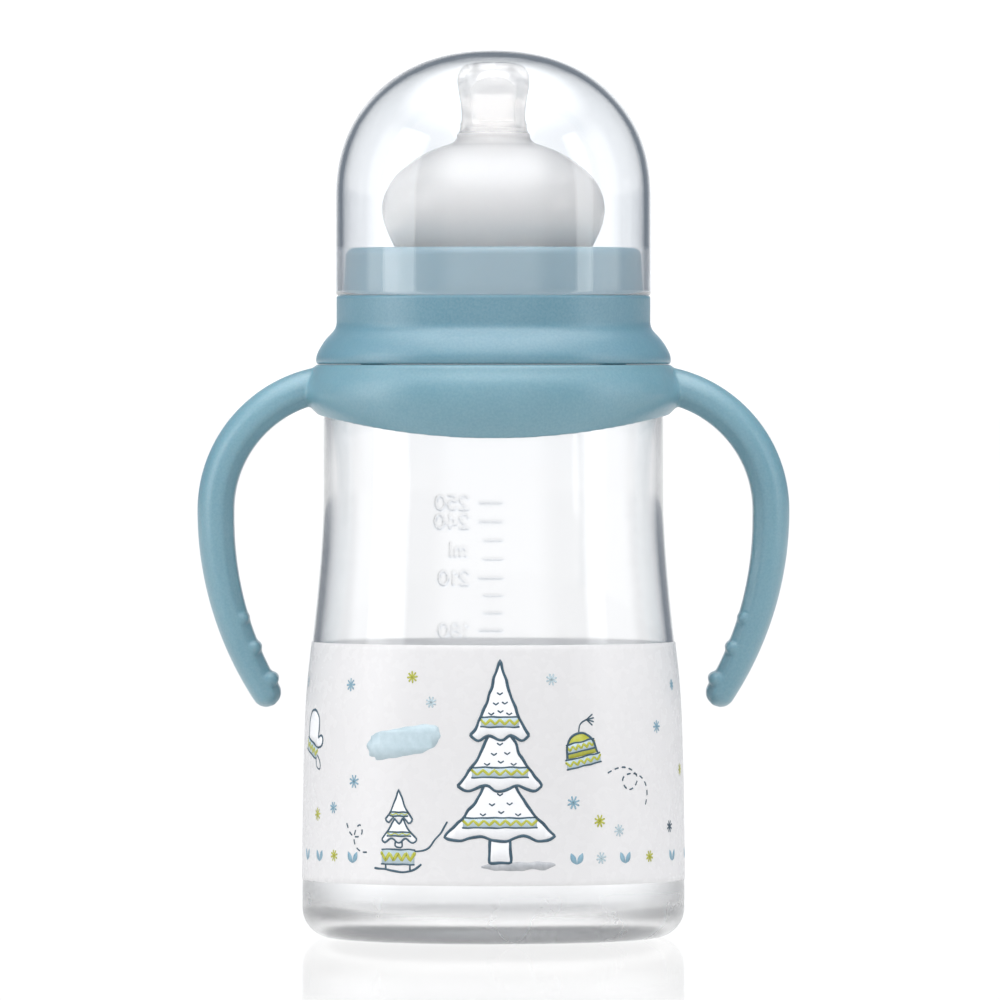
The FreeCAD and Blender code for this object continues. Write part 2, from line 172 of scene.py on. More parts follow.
def arc(centre, radius, start, end, step=0.3):
    """Points of an arc, between two angles in degrees."""
    count = max(3, math.ceil(abs(math.radians(end - start)) * radius / step))
    angle = np.radians(np.linspace(start, end, count + 1))
    return np.stack([centre[0] + radius * np.cos(angle), centre[1] + radius * np.sin(angle)], 1)


def rounded(corners, closed=False):
    """A line of straight runs through corners (x, y, radius), each rounded to its radius."""
    line = []
    count = len(corners)
    for i, (x, y, radius) in enumerate(corners):
        here = Vector((x, y))
        if radius == 0 or (not closed and i in (0, count - 1)):
            line.append(here)
            continue
        before = (here - Vector(corners[i - 1][:2])).normalized()
        after = (Vector(corners[(i + 1) % count][:2]) - here).normalized()
        turn = before.angle_signed(after)
        reach = radius * math.tan(abs(turn) / 2)
        side = Vector((-before.y, before.x)) * (-1 if turn > 0 else 1)
        centre = here - before * reach + side * radius
        start = math.degrees(math.atan2(-side.y, -side.x))
        line.extend(Vector(p) for p in arc(centre, radius, start, start - math.degrees(turn), 0.12))
    return np.array([tuple(p) for p in line])


def crown(edge_r, edge_z, rise):
    """A shallow dome about the axis, from its middle out to its edge."""
    radius = (edge_r ** 2 + rise ** 2) / (2 * rise)
    half = math.degrees(math.asin(edge_r / radius))
    return arc((0, edge_z + rise - radius), radius, 90, 90 - half, 0.8)


side_r = spline([z for _, z in SIDE], [r for r, _ in SIDE], flat_ends=True)


def side_line(inset, low, high, spacing=0.6):
    """The bottle's side between two heights, inset by a thickness, from low to high."""
    z = np.linspace(low, high, max(2, round(abs(high - low) / spacing)))
    return np.stack([side_r(z) - inset, z], 1)


# ---------------------------------------------------------------- meshes


def make_piece(name, points, faces, material, body, node=None):
    """A smooth mesh piece from points in millimetres, riding on a body, and standing for a CAD node."""
    mesh = bpy.data.meshes.new(name)
    mesh.from_pydata((np.asarray(points, float) * MM).tolist(), [], [list(f) for f in faces])
    work = bmesh.new()
    work.from_mesh(mesh)
    bmesh.ops.remove_doubles(work, verts=work.verts, dist=1e-7)
    bmesh.ops.dissolve_degenerate(work, edges=work.edges, dist=1e-8)
    bmesh.ops.recalc_face_normals(work, faces=work.faces)
    work.to_mesh(mesh)
    work.free()
    mesh.shade_smooth()
    mesh.materials.append(material)
    obj = bpy.data.objects.new(name, mesh)
    bpy.context.scene.collection.objects.link(obj)
    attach(obj, body)
    if node:
        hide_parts(node)
    return obj


def turned(outline, angles, closed=False, warp=None):
    """Points and faces of an outline turned about the axis. warp moves each point's radius and height."""
    line = np.asarray(outline, float)
    theta = np.broadcast_to(angles[None, :], (len(line), len(angles)))
    radius = np.repeat(line[:, :1], len(angles), 1)
    height = np.repeat(line[:, 1:], len(angles), 1)
    if warp:
        radius, height = warp(theta, radius, height)
    points = np.stack([radius * np.cos(theta), radius * np.sin(theta), height], -1)
    index = np.arange(theta.size).reshape(theta.shape)
    low = index if closed else index[:-1]
    high = np.roll(index, -1, 0) if closed else index[1:]
    faces = np.stack([low, np.roll(low, -1, 1), np.roll(high, -1, 1), high], -1)
    return points.reshape(-1, 3), faces.reshape(-1, 4)


def around(count):
    """Evenly spaced angles of a full turn."""
    return np.arange(count) * ROUND / count


def thread_ridge(theta, height, low_z):
    """How far a thread's ridge stands out at an angle and a height: 0 off it, 1 on its crest."""
    depth = np.zeros_like(height)
    for turn in range(math.ceil(THREAD_TURNS) + 1):
        along = np.mod(theta - THREAD_START, ROUND) + turn * ROUND
        off = np.abs(height - low_z - LEAD * along / ROUND)
        flank = (THREAD_HALF_ROOT - off) / (THREAD_HALF_ROOT - THREAD_HALF_CREST)
        ends = np.minimum(along, THREAD_TURNS * ROUND - along) / math.radians(12)
        depth = np.maximum(depth, np.clip(np.minimum(flank, ends), 0, 1))
    return depth


# ---------------------------------------------------------------- raised scale


def bowl(centre, half_w, half_h, start, end):
    """Points of an oval's edge, between two angles in degrees."""
    angle = np.radians(np.linspace(start, end, 13))
    return [(centre[0] + half_w * math.cos(a), centre[1] + half_h * math.sin(a)) for a in angle]


# Each sign is a list of strokes in a box 1 high, with its width
SIGNS = {
    "0": (0.66, [bowl((0.33, 0.5), 0.33, 0.5, 0, 360)]),
    "1": (0.40, [[(0.02, 0.78), (0.26, 1.0), (0.26, 0.0)]]),
    "2": (0.62, [bowl((0.31, 0.70), 0.30, 0.30, 165, -30) + [(0.02, 0.0), (0.62, 0.0)]]),
    "4": (0.68, [[(0.50, 0.0), (0.50, 1.0), (0.0, 0.28), (0.68, 0.28)]]),
    "5": (0.62, [[(0.58, 1.0), (0.10, 1.0), (0.06, 0.56)] + bowl((0.29, 0.32), 0.31, 0.32, 105, -150)]),
    "8": (0.62, [bowl((0.31, 0.75), 0.25, 0.25, 0, 360), bowl((0.31, 0.26), 0.31, 0.26, 0, 360)]),
    "m": (0.86, [[(0.04, 0.0), (0.04, 0.66)], bowl((0.24, 0.44), 0.19, 0.22, 180, 0) + [(0.43, 0.0)],
                 bowl((0.62, 0.44), 0.19, 0.22, 180, 0) + [(0.81, 0.0)]]),
    "l": (0.12, [[(0.06, 1.0), (0.06, 0.0)]]),
}
SIGN_HEIGHT = 2.6
SIGN_GAP = 0.24
SIGN_START_X = -4.8


def sign_strokes(text, start_x, middle_z):
    """Strokes of a row of signs on the back wall. Seen from behind they read from +X to -X."""
    strokes = []
    x = start_x
    for sign in text:
        width, lines = SIGNS[sign]
        for line in lines:
            strokes.append([(x - px * SIGN_HEIGHT, middle_z + (py - 0.5) * SIGN_HEIGHT) for px, py in line])
        x -= (width + SIGN_GAP) * SIGN_HEIGHT
    return strokes


def scale_strokes():
    """The raised scale: a tick at each volume, a number at some, and the unit between them."""
    strokes = [[(TICK_END_X, z), (-1.8, z)] for z in UNNUMBERED]
    for volume, z in NUMBERED.items():
        strokes.append([(TICK_END_X, z), (-2.7, z)])
        strokes += sign_strokes(str(volume), SIGN_START_X, z)
    return strokes + sign_strokes("ml", SIGN_START_X - 0.4, 70.6)


def raised(x, z, strokes):
    """Height of the raised scale at places on the back wall."""
    nearest = np.full(x.shape, 9.0)
    for stroke in strokes:
        for (ax, az), (bx, bz) in zip(stroke, stroke[1:]):
            dx, dz = bx - ax, bz - az
            t = np.clip(((x - ax) * dx + (z - az) * dz) / (dx * dx + dz * dz), 0, 1)
            nearest = np.minimum(nearest, np.hypot(x - ax - t * dx, z - az - t * dz))
    share = np.clip((RAISED_HALF_WIDTH + RAISED_EDGE - nearest) / RAISED_EDGE, 0, 1)
    return RAISED * share * share * (3 - 2 * share)


# ---------------------------------------------------------------- the pieces


def bottle_outline():
    """The bottle from the middle of its base, up the outside, over the rim and down the inside."""
    shoulder = (SIDE[-1][0] - SHOULDER_ARC_R, SHOULDER_Z - SHOULDER_ARC_R)
    inner_r = SHOULDER_ARC_R - WALL
    corner_in = (side_r(9.0) - CORNER_R, FLOOR_Z + CORNER_R - WALL)
    outside = np.vstack([
        crown(FOOT_IN_R, 0, PUNT_RISE),
        arc((FOOT_OUT_R, CORNER_R), CORNER_R, -90, 0),
        side_line(0, CORNER_R + 0.6, 53.4),
        side_line(0, 53.6, STRAIGHT_Z, 0.16),
        side_line(0, 83.6, shoulder[1]),
        arc(shoulder, SHOULDER_ARC_R, 0, 90),
        even(rounded([
            (26.4, SHOULDER_Z, 0), (STEP_R, SHOULDER_Z, 0.2), (STEP_R, STEP_TOP_Z, 0.4),
            (NECK_R, STEP_TOP_Z + 0.3, 0.4), (NECK_R, RIM_Z, 0.5), (NECK_BORE_R, RIM_Z, 0.5),
            (NECK_BORE_R, SHOULDER_Z - 0.6, 1.0), (NECK_BORE_R + 1.4, SHOULDER_Z - WALL, 1.0),
            (shoulder[0], SHOULDER_Z - WALL, 0),
        ]), 0.35),
    ])
    inside = np.vstack([
        arc(shoulder, inner_r, 88, 0),
        side_line(WALL, STRAIGHT_Z + 14, 10.0, 1.0),
        arc(corner_in, CORNER_R - WALL, 0, -90),
        crown(FOOT_IN_R, FLOOR_Z, FLOOR_RISE)[::-1],
    ])
    return np.vstack([outside, inside])


def build_bottle(material):
    """The bottle, with finer columns of points on its back wall for the raised scale."""
    strokes = scale_strokes()
    fine = np.radians(np.arange(84, 116, 0.28))
    coarse = np.radians(np.arange(116, 444, 2.0))
    outline = bottle_outline()

    def warp(theta, radius, height):
        x = radius * np.cos(theta)
        outer = radius > side_r(height) - 0.3
        back = (np.sin(theta) > 0.8) & outer & (height > 50) & (height < STRAIGHT_Z)
        lift = np.zeros_like(radius)
        lift[back] = raised(x[back], height[back], strokes)
        neck = (radius > NECK_R - 0.05) & (radius < NECK_R + 0.05) & (height > STEP_TOP_Z)
        ridge = thread_ridge(theta, height, NECK_THREAD_Z) * THREAD_HEIGHT
        return radius + lift + np.where(neck, ridge, 0), height

    points, faces = turned(outline, np.concatenate([fine, coarse]), warp=warp)
    return make_piece("bottle_wall", points, faces, material, "bottle", "bottle_body")


def build_film(material):
    """The printed film: a thin sleeve just off the bottle's side."""
    skin = 0.02
    outer = side_line(-FILM, FILM_LOW_Z + 0.05, FILM_TOP_Z - 0.05, 1.0)
    inner = side_line(-skin, FILM_TOP_Z, FILM_LOW_Z, 1.0)
    points, faces = turned(np.vstack([outer, inner]), around(256), closed=True)
    return make_piece("print_film", points, faces, material, "bottle", "print_sleeve")


def build_collar(material):
    """The collar: seat band for the cap, step, flared skirt, and the thread in its bore."""
    flare = spline([z for _, z in COLLAR_FLARE[::-1]], [r for r, _ in COLLAR_FLARE[::-1]], flat_ends=True)
    heights = np.linspace(COLLAR_FLARE[-1][1], COLLAR_FLARE[0][1], 24)
    skirt = np.stack([flare(heights), heights], 1)
    inside = np.stack([flare(heights[::-1]) - 1.5, heights[::-1] - 0.5], 1)
    inside[:, 0] = np.maximum(inside[:, 0], COLLAR_BORE_R)
    outline = np.vstack([
        skirt,
        rounded([
            (COLLAR_WALL_R, 113.0, 0), (COLLAR_WALL_R, 117.5, 0.3), (27.45, 117.5, 0.1),
            (27.0, COLLAR_TOP_Z, 1.6), (18.6, COLLAR_TOP_Z, 0.4), (18.6, 125.0, 0.3),
            (COLLAR_BORE_R, 125.0, 0.3), (COLLAR_BORE_R, 112.6, 0),
        ]),
        inside,
        rounded([(31.0, 105.3, 0), (31.0, 105.0, 0.1), (32.5, 105.0, 0.5), (32.5, 105.8, 0)]),
    ])
    bore_thread_z = NECK_THREAD_Z - THREAD_HALF_ROOT - THREAD_HALF_CREST - 0.45

    def warp(theta, radius, height):
        bore = np.abs(radius - COLLAR_BORE_R) < 0.02
        ridge = thread_ridge(theta, height, bore_thread_z) * THREAD_HEIGHT
        return radius - np.where(bore & (height < 123), ridge, 0), height

    points, faces = turned(even(outline, 0.32, closed=True), around(216), closed=True, warp=warp)
    return make_piece("collar_shell", points, faces, material, "collar", "screw_collar")


def build_cap(material):
    """The clear cap: a straight wall, a superellipse crown, and a rounded rim."""

    def shell(inset):
        angle = np.linspace(0, math.pi / 2, 60)
        width = np.cos(angle) ** (2 / CAP_POWER)
        rise = np.sin(angle) ** (2 / CAP_POWER)
        crown_line = np.stack([(CAP_R - inset) * width,
                               CAP_SPRING_Z + (CAP_TOP_Z - CAP_SPRING_Z - inset) * rise], 1)
        crown_line[-1, 0] = 0
        return even(crown_line, 0.6)

    rim = rounded([(CAP_R, CAP_SPRING_Z, 0), (CAP_R, CAP_LOW_Z, 0.4), (CAP_R - CAP_WALL, CAP_LOW_Z, 0.4),
                   (CAP_R - CAP_WALL, CAP_SPRING_Z, 0)])
    rim = even(rim, 0.4)
    outline = np.vstack([shell(0)[::-1], rim[1:-1], shell(CAP_WALL)])
    points, faces = turned(outline, around(256))
    return make_piece("cap_shell", points, faces, material, "cap", "dome_cap")


def build_teat(material):
    """The silicone teat: flange with its sealing lip, bulb, stepped nipple base, nipple and feed hole."""
    outside = through([
        (18.1, 126.4), (19.5, 129.3), (20.4, 133.4), (19.3, 137.6), (15.9, 141.4), (12.7, 143.5),
        (9.0, 145.1), (7.0, 146.0), (6.5, 147.0), (6.1, 148.2), (5.85, 150.2), (6.25, 154.2),
        (6.65, 157.4), (5.9, 159.4), (3.4, 160.4), (0.4, 160.6),
    ])
    inside = through([
        (0.4, 158.8), (2.9, 158.3), (4.6, 156.0), (4.35, 152.5), (4.2, 149.4), (4.9, 146.0), (7.6, 143.8),
        (11.6, 142.0), (14.6, 140.0), (17.6, 136.8), (18.7, 133.4), (17.9, 129.4), (16.4, 126.0),
    ])
    flange = rounded([
        (16.4, 126.0, 0), (16.4, 123.52, 0.5), (20.5, 123.52, 0.2), (20.9, 121.2, 0.5),
        (22.1, 121.2, 0.4), (22.1, 123.52, 0.1), (25.4, 123.52, 0.3), (25.4, 124.98, 0.3),
        (18.1, 124.98, 0.3), (18.1, 126.4, 0),
    ])

    def warp(theta, radius, height):
        outer = (height > 146) & (radius > 5.4)
        ring = sum(np.exp(-((height - z) / 0.32) ** 2) for z in (147.1, 149.0))
        return radius + np.where(outer, 0.22 * ring, 0), height

    outline = np.vstack([outside, inside, flange])
    points, faces = turned(even(outline, 0.3, closed=True), around(180), closed=True, warp=warp)
    return make_piece("teat_silicone", points, faces, material, "teat_body", "teat")


# ---------------------------------------------------------------- handle ring and arms

RING_LOW_Z = 91.5
RING_SCOOP_R = 123.0
RING_FIXED_Z = 100.5
ARM_OUT_X = 54.25
ARM_WIDE_Z = 78.2
ARM_UPPER_R = 26.7
ARM_LOWER_R = 63.5
ARM_THICK = 6.7
ARM_TIP_THICK = 5.3
ARM_HALF_DEPTH = 6.4
ARM_CREASE = 0.32
ARM_ROOT_DEG = 78
ARM_TIP_DEG = -33.3
GRIP_HEIGHTS = (58.6, 53.3, 47.6)


def ring_mesh():
    """The ring: an inward plate on the shoulder, and a convex skirt whose lower edge rises to the sides."""
    outline = even(np.vstack([
        rounded([(26.2, 103.1, 0.2), (26.2, 104.95, 0.5), (32.6, 104.95, 0.7), (33.3, 103.4, 0)]),
        through([(33.3, 103.4), (34.35, 101.2), (34.7, 98.6), (34.35, 95.9), (33.4, 93.4), (32.3, 91.8)]),
        rounded([(32.2, 91.6, 0), (31.95, 91.5, 0.1), (31.45, 91.5, 0.2), (31.45, 103.1, 0.5)]),
    ]), 0.4, closed=True)

    def warp(theta, radius, height):
        low = RING_LOW_Z + (radius * np.cos(theta)) ** 2 / (2 * RING_SCOOP_R)
        share = (height - RING_LOW_Z) / (RING_FIXED_Z - RING_LOW_Z)
        lifted = low + share * (RING_FIXED_Z - low)
        return radius, np.where(share < 1, lifted, height)

    return turned(outline, around(240), closed=True, warp=warp)


def tube_faces(rows, cols):
    """Faces between rows of points that each go once round a tube."""
    index = np.arange(rows * cols).reshape(rows, cols)
    faces = np.stack([index[:-1], np.roll(index[:-1], -1, 1), np.roll(index[1:], -1, 1), index[1:]], -1)
    return [tuple(f) for f in faces.reshape(-1, 4)]


def arm_section(thick, depth):
    """The arm's section as (outward, sideways): a crowned outer part, a crease and a flat inner face."""
    inner = -thick / 2
    crease = inner + ARM_CREASE * thick
    angle = np.linspace(0, math.pi / 2, 12)
    outer = np.stack([crease + (thick / 2 - crease) * np.cos(angle) ** 0.85, depth * np.sin(angle) ** 0.92], 1)
    facet = np.array([(crease - 0.30, depth - 0.06), (inner + 0.45, depth - 1.25), (inner, depth - 1.9)])
    half = np.vstack([outer, facet])
    mirrored = half[::-1] * (1, -1)
    return np.vstack([half, mirrored[:-1]])


def arm_mesh():
    """The right-hand arm, swept along two arcs, and closed by a round tip."""
    stations = [(1, a) for a in np.linspace(ARM_ROOT_DEG, 0, 40)]
    stations += [(0, a) for a in np.linspace(0, ARM_TIP_DEG, 50)[1:]]
    points = []
    for upper, degrees in stations:
        angle = math.radians(degrees)
        radius = ARM_UPPER_R if upper else ARM_LOWER_R
        share = 0 if upper else degrees / ARM_TIP_DEG
        thick = ARM_THICK + (ARM_TIP_THICK - ARM_THICK) * share ** 1.3
        depth = ARM_HALF_DEPTH * (1 - 0.12 * share)
        centre = Vector((ARM_OUT_X - radius + (radius - thick / 2) * math.cos(angle),
                         ARM_WIDE_Z + (radius - thick / 2) * math.sin(angle)))
        out = Vector((math.cos(angle), math.sin(angle)))
        section = arm_section(thick, depth)
        points.append([(centre.x + n * out.x, y, centre.y + n * out.y) for n, y in section])
    along = Vector((math.sin(angle), -math.cos(angle)))
    last = np.array(points[-1])
    middle = np.array((centre.x, 0, centre.y))
    for step in np.linspace(0, 1, 9)[1:]:
        shrink = math.sqrt(max(1 - step * step, 0.0004))
        ahead = np.array((along.x, 0, along.y)) * (ARM_TIP_THICK / 2 * step)
        points.append((last - middle) * (shrink, 1 - 0.45 * step ** 3, shrink) + middle + ahead)
    grid = np.array([np.asarray(row) for row in points])
    rows, cols = grid.shape[:2]
    first = tuple(range(cols))
    last = tuple(range(rows * cols - 1, (rows - 1) * cols - 1, -1))
    return grid.reshape(-1, 3), tube_faces(rows, cols) + [first, last]


def grip_mesh(height):
    """A grip rib: a round bar with rounded ends, lying across the arm's inner face."""
    radius, half_length, rise = 1.3, 5.3, 0.85
    angle = math.asin((ARM_WIDE_Z - height) / (ARM_LOWER_R - ARM_TIP_THICK))
    reach = ARM_LOWER_R - ARM_TIP_THICK - rise + radius
    centre = (ARM_OUT_X - ARM_LOWER_R + reach * math.cos(angle), ARM_WIDE_Z - reach * math.sin(angle))
    ends = arc((half_length - 0.5, 0), radius, 0, 90, 0.3)
    line = np.vstack([ends, (ends * (-1, 1))[::-1]])
    turn = around(28)
    grid = np.stack([centre[0] + line[:, 1:] * np.cos(turn), np.repeat(line[:, :1], len(turn), 1),
                     centre[1] + line[:, 1:] * np.sin(turn)], -1)
    return grid.reshape(-1, 3), tube_faces(len(line), len(turn))


def build_handles(material):
    """Ring, arms and grips melted into one moulding with small fillets where they meet."""
    parts = [ring_mesh()]
    for mirror in (1, -1):
        for points, faces in [arm_mesh()] + [grip_mesh(z) for z in GRIP_HEIGHTS]:
            parts.append((np.asarray(points) * (mirror, 1, 1), faces))
    everything = bmesh.new()
    for points, faces in parts:
        mesh = bpy.data.meshes.new("part")
        mesh.from_pydata((points * MM).tolist(), [], [list(f) for f in faces])
        part = bmesh.new()
        part.from_mesh(mesh)
        bmesh.ops.remove_doubles(part, verts=part.verts, dist=1e-6)
        bmesh.ops.recalc_face_normals(part, faces=part.faces)
        part.to_mesh(mesh)
        part.free()
        everything.from_mesh(mesh)
        bpy.data.meshes.remove(mesh)
    mesh = bpy.data.meshes.new("handle_moulding")
    everything.to_mesh(mesh)
    everything.free()
    obj = bpy.data.objects.new("handle_moulding", mesh)
    bpy.context.scene.collection.objects.link(obj)
    remesh = obj.modifiers.new("melt", "REMESH")
    remesh.mode = "VOXEL"
    remesh.voxel_size = 0.34 * MM
    remesh.use_smooth_shade = True
    smooth = obj.modifiers.new("soften", "SMOOTH")
    smooth.factor = 0.5
    smooth.iterations = 2
    bpy.context.view_layer.update()
    evaluated = obj.evaluated_get(bpy.context.evaluated_depsgraph_get())
    melted = bpy.data.meshes.new_from_object(evaluated)
    obj.modifiers.clear()
    obj.data = melted
    melted.name = "handle_moulding"
    melted.shade_smooth()
    melted.materials.clear()
    melted.materials.append(material)
    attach(obj, "handles")
    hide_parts("handle_ring")
    return obj


# ---------------------------------------------------------------- printed art

wobble_seed = np.random.default_rng(7)


def wobbly(points, closed=False, amount=0.10, spacing=0.4):
    """A hand-drawn version of a line: evenly spaced, with a slow small wobble."""
    line = even(points, spacing, closed)
    count = len(line)
    phase = wobble_seed.uniform(0, ROUND, (4, 2))
    at = np.arange(count) * ROUND / count
    for k, (a, b) in enumerate(phase):
        cycles = max(2, round(count * spacing / (7 - 1.4 * k)))
        line = line + amount * 0.5 * np.stack([np.sin(cycles * at + a), np.cos(cycles * at + b)], 1)
    return line


class Ink:
    """Everything printed in one colour, as faces on the film."""

    def __init__(self):
        self.points = []
        self.faces = []

    def add(self, flat, faces, layer):
        """Adds faces. flat holds (along, up) from the middle of the front. Higher layers cover lower."""
        flat = np.asarray(flat, float)
        angle = flat[:, 0] / ART_R
        radius = side_r(flat[:, 1]) + FILM + INK_STEP * (layer + 1)
        start = len(self.points)
        solid = np.stack([radius * np.sin(angle), -radius * np.cos(angle), flat[:, 1]], 1)
        self.points.extend(solid.tolist())
        self.faces.extend([[start + i for i in face] for face in faces])

    def stroke(self, line, width, layer=3, closed=False):
        """A line of the pen, with slightly uneven width and round ends."""
        line = np.asarray(line, float)
        count = len(line)
        if closed:
            way = np.roll(line, -1, 0) - np.roll(line, 1, 0)
        else:
            way = np.gradient(line, axis=0)
        way = way / np.maximum(np.linalg.norm(way, axis=1), 1e-9)[:, None]
        side = np.stack([-way[:, 1], way[:, 0]], 1)
        wave = 1 + 0.10 * np.sin(np.arange(count) * 0.55 + line[0, 0])
        half = (width / 2 * wave)[:, None]
        flat = np.vstack([line + side * half, line - side * half])
        last = count if closed else count - 1
        faces = [(i, (i + 1) % count, count + (i + 1) % count, count + i) for i in range(last)]
        self.add(flat, faces, layer)
        if not closed:
            for end in (line[0], line[-1]):
                self.blob(arc(end, width / 2, 0, 330, width / 3), layer)

    def blob(self, outline, layer=0):
        """A filled shape, cut into upright strips so that it follows the round film."""
        work = bmesh.new()
        corners = [work.verts.new((x, y, 0)) for x, y in outline]
        work.faces.new(corners)
        low, high = min(p[0] for p in outline), max(p[0] for p in outline)
        for cut in np.arange(low + 0.8, high, 0.8):
            geometry = work.verts[:] + work.edges[:] + work.faces[:]
            bmesh.ops.bisect_plane(work, geom=geometry, dist=1e-6, plane_co=(cut, 0, 0), plane_no=(1, 0, 0))
        low, high = min(p[1] for p in outline), max(p[1] for p in outline)
        for cut in np.arange(low + 2.5, high, 2.5):
            geometry = work.verts[:] + work.edges[:] + work.faces[:]
            bmesh.ops.bisect_plane(work, geom=geometry, dist=1e-6, plane_co=(0, cut, 0), plane_no=(0, 1, 0))
        bmesh.ops.triangulate(work, faces=work.faces[:])
        work.verts.index_update()
        flat = [(v.co.x, v.co.y) for v in work.verts]
        faces = [[v.index for v in f.verts] for f in work.faces]
        work.free()
        self.add(flat, faces, layer)


INK = {name: Ink() for name in ("navy", "mustard", "pale_blue", "mid_blue", "grey", "white")}
PEN = 0.52


def snowflake(at, size, ink):
    """A small asterisk of crossing pen strokes."""
    turn = wobble_seed.uniform(0, 0.5)
    for k in range(4):
        angle = turn + k * math.pi / 4
        reach = np.array((math.cos(angle), math.sin(angle))) * size / 2
        INK[ink].stroke(even([at - reach, at + reach], 0.4), 0.34)


def leaf_pair(at):
    """Two leaves that open upwards from one foot."""
    for side in (-1, 1):
        leaf = through([(0, 0), (0.95, 0.5), (1.2, 1.4), (1.1, 2.1)], 0.25)
        back = through([(1.1, 2.1), (0.42, 1.6), (0.08, 0.85), (0, 0)], 0.25)
        INK["mid_blue"].blob(np.vstack([leaf[:-1], back[:-1]]) * (side * 1.1, 1.0) + at)


def knitted(left, right, height, teeth, layer=1):
    """A knitted band between two points: pale ground, mustard zigzag, and pen edges."""
    left, right = np.array(left), np.array(right)
    along = (right - left) / np.linalg.norm(right - left)
    up = np.array((-along[1], along[0])) * height
    band = np.vstack([even([left, right], 1.0), even([right + up, left + up], 1.0)])
    INK["pale_blue"].blob(band, layer)
    zig = [left + (right - left) * k / (2 * teeth) + up * (0.26 if k % 2 else 0.74)
           for k in range(2 * teeth + 1)]
    INK["mustard"].stroke(even(zig, 0.3), min(0.62, height * 0.26), layer + 1)
    for share in (0, 1):
        edge = even([left + up * share, right + up * share], 0.4)
        INK["navy"].stroke(wobbly(edge, amount=0.05), 0.30, layer + 2)


def skirt(half, low, high):
    """The outline of one tier of a fir tree: concave sides, and a scalloped lower edge."""
    tall = high - low
    right = through([(0, high), (half * 0.22, low + tall * 0.74), (half * 0.62, low + tall * 0.30),
                     (half, low + tall * 0.03)], 0.5)
    under = through([(half, low + tall * 0.03), (half * 0.74, low - 0.5), (half * 0.40, low + 0.45),
                     (0, low - 0.55), (-half * 0.40, low + 0.45), (-half * 0.74, low - 0.5),
                     (-half, low + tall * 0.03)], 0.5)
    return np.vstack([right, under[1:-1], (right * (-1, 1))[::-1][:-1]])


def fir_tree(foot, height, width, tiers, first_layer=0):
    """A fir tree in pen: a trunk, and tiers that overlap upwards, each with a knitted band and dashes."""
    foot = np.array(foot)
    trunk_h = height * 0.12
    tier_h = (height - trunk_h) / (tiers - 0.35 * (tiers - 1))
    trunk_w = width * 0.085
    trunk = rounded([(-trunk_w, trunk_h + 1, 0), (-trunk_w * 1.15, 0, 0.3), (trunk_w * 1.15, 0, 0.3),
                     (trunk_w, trunk_h + 1, 0)])
    INK["white"].blob(trunk + foot, first_layer)
    INK["navy"].stroke(wobbly(trunk + foot, amount=0.05), PEN * min(1, height / 16), first_layer + 1)
    for tier in range(tiers):
        low = trunk_h + tier * tier_h * 0.65
        half = width / 2 * (1 - 0.24 * tier)
        layer = first_layer + 2 + 4 * tier
        outline = skirt(half, low, low + tier_h)
        INK["white"].blob(outline + foot, layer)
        band_low = low + tier_h * 0.14
        reach = half * 0.66
        knitted(foot + (-reach, band_low), foot + (reach, band_low), tier_h * 0.13, max(3, round(reach)),
                layer + 1)
        INK["navy"].stroke(wobbly(outline + foot, closed=True, amount=0.06 + height * 0.001),
                           PEN * min(1, height / 16), layer + 3, closed=True)
        if height > 20:
            for x_share, z_share in ((-0.30, 0.34), (0.02, 0.37), (0.32, 0.34), (-0.14, 0.47), (0.17, 0.48),
                                     (0.0, 0.60)):
                dash = foot + (half * x_share, low + tier_h * z_share)
                INK["navy"].stroke(even([dash - (0.45, 0.28), dash + (0, -0.6), dash + (0.45, -0.28)], 0.25),
                                   0.26, layer + 3)


def mitten(middle, size, tilt):
    """A mitten with a knitted cuff and a loop of wool."""
    turn = np.array(((math.cos(tilt), math.sin(tilt)), (-math.sin(tilt), math.cos(tilt)))) * size
    hand = through([
        (-0.30, -0.18), (-0.36, 0.10), (-0.30, 0.40), (-0.06, 0.52), (0.18, 0.44), (0.28, 0.20),
        (0.30, 0.02), (0.42, 0.12), (0.54, 0.08), (0.54, -0.06), (0.40, -0.16), (0.30, -0.18),
    ], 0.04) @ turn + middle
    INK["white"].blob(hand, 0)
    INK["navy"].stroke(wobbly(hand, closed=True, amount=0.06), PEN * 0.85, 1, closed=True)
    cuff = np.array([(-0.35, -0.44), (0.35, -0.44)]) @ turn + middle
    knitted(cuff[0], cuff[1], 0.26 * size, 4, 2)
    loop = through([(0.34, -0.40), (0.46, -0.58), (0.62, -0.56), (0.56, -0.42), (0.38, -0.34)], 0.05)
    INK["navy"].stroke(loop @ turn + middle, PEN * 0.55)


